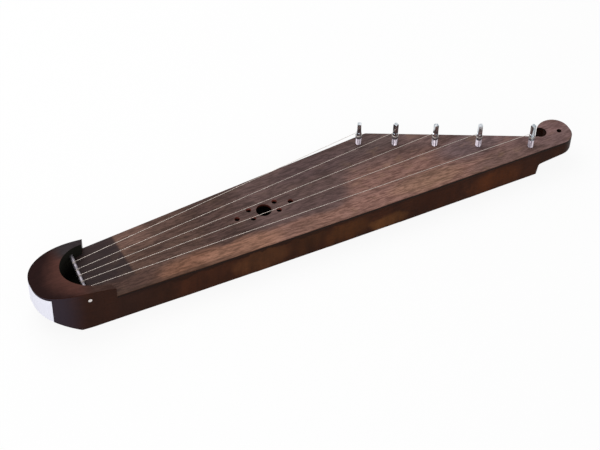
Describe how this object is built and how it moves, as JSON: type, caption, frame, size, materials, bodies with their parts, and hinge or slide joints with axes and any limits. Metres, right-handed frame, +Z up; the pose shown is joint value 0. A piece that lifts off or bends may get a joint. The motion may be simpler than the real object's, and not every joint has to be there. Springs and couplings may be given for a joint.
{
  "type": "kantele",
  "caption": "Small carved wooden lap zither with a raised horseshoe end, a steel string rod, upright tuning pins along a slanted end and a hooked tail with a hanging hole",
  "frame": {"origin": "in the plane of the flat bottom, at the middle of the overall length and of the overall width", "axes": "+X along the length from the horseshoe end towards the hooked tail, +Y from the long straight side towards the flared side, +Z up from the flat bottom towards the strings"},
  "size_m": [0.7434, 0.1245, 0.0825],
  "materials": {
    "body_wood": "stained dark red-brown, satin varnish",
    "board_wood": "stained grey-brown, satin varnish",
    "brace_wood": "raw spruce",
    "rod_steel": "plain steel, slightly rough",
    "pin_nickel": "nickel plated, polished",
    "string_steel": "bright drawn steel wire",
    "label_paper": "matt white paper"
  },
  "bodies": {
    "kantele": {"body": "body_wood", "soundboard": "board_wood", "soundboard_brace_1": "brace_wood", "soundboard_brace_2": "brace_wood", "string_rod": "rod_steel", "label": "label_paper", "string_1": "string_steel", "string_2": "string_steel", "string_3": "string_steel", "string_4": "string_steel", "string_5": "string_steel"},
    "pin_1": {"tuning_pin_1": "pin_nickel", "string_end_1": "string_steel"},
    "pin_2": {"tuning_pin_2": "pin_nickel", "string_end_2": "string_steel"},
    "pin_3": {"tuning_pin_3": "pin_nickel", "string_end_3": "string_steel"},
    "pin_4": {"tuning_pin_4": "pin_nickel", "string_end_4": "string_steel"},
    "pin_5": {"tuning_pin_5": "pin_nickel", "string_end_5": "string_steel"}
  },
  "joints": [
    {"name": "tuning_pin_1_turn", "type": "hinge", "parent": "kantele", "child": "pin_1", "pos_m": [0.10404, 0.04975, 0.044], "axis": [0, 0, -1], "range_deg": [-90, 20]},
    {"name": "tuning_pin_2_turn", "type": "hinge", "parent": "kantele", "child": "pin_2", "pos_m": [0.14678, 0.02927, 0.044], "axis": [0, 0, -1], "range_deg": [-90, 20]},
    {"name": "tuning_pin_3_turn", "type": "hinge", "parent": "kantele", "child": "pin_3", "pos_m": [0.19395, 0.00667, 0.044], "axis": [0, 0, -1], "range_deg": [-90, 20]},
    {"name": "tuning_pin_4_turn", "type": "hinge", "parent": "kantele", "child": "pin_4", "pos_m": [0.24562, -0.01809, 0.044], "axis": [0, 0, -1], "range_deg": [-90, 20]},
    {"name": "tuning_pin_5_turn", "type": "hinge", "parent": "kantele", "child": "pin_5", "pos_m": [0.3074, -0.04768, 0.044], "axis": [0, 0, -1], "range_deg": [-90, 20]}
  ]
}
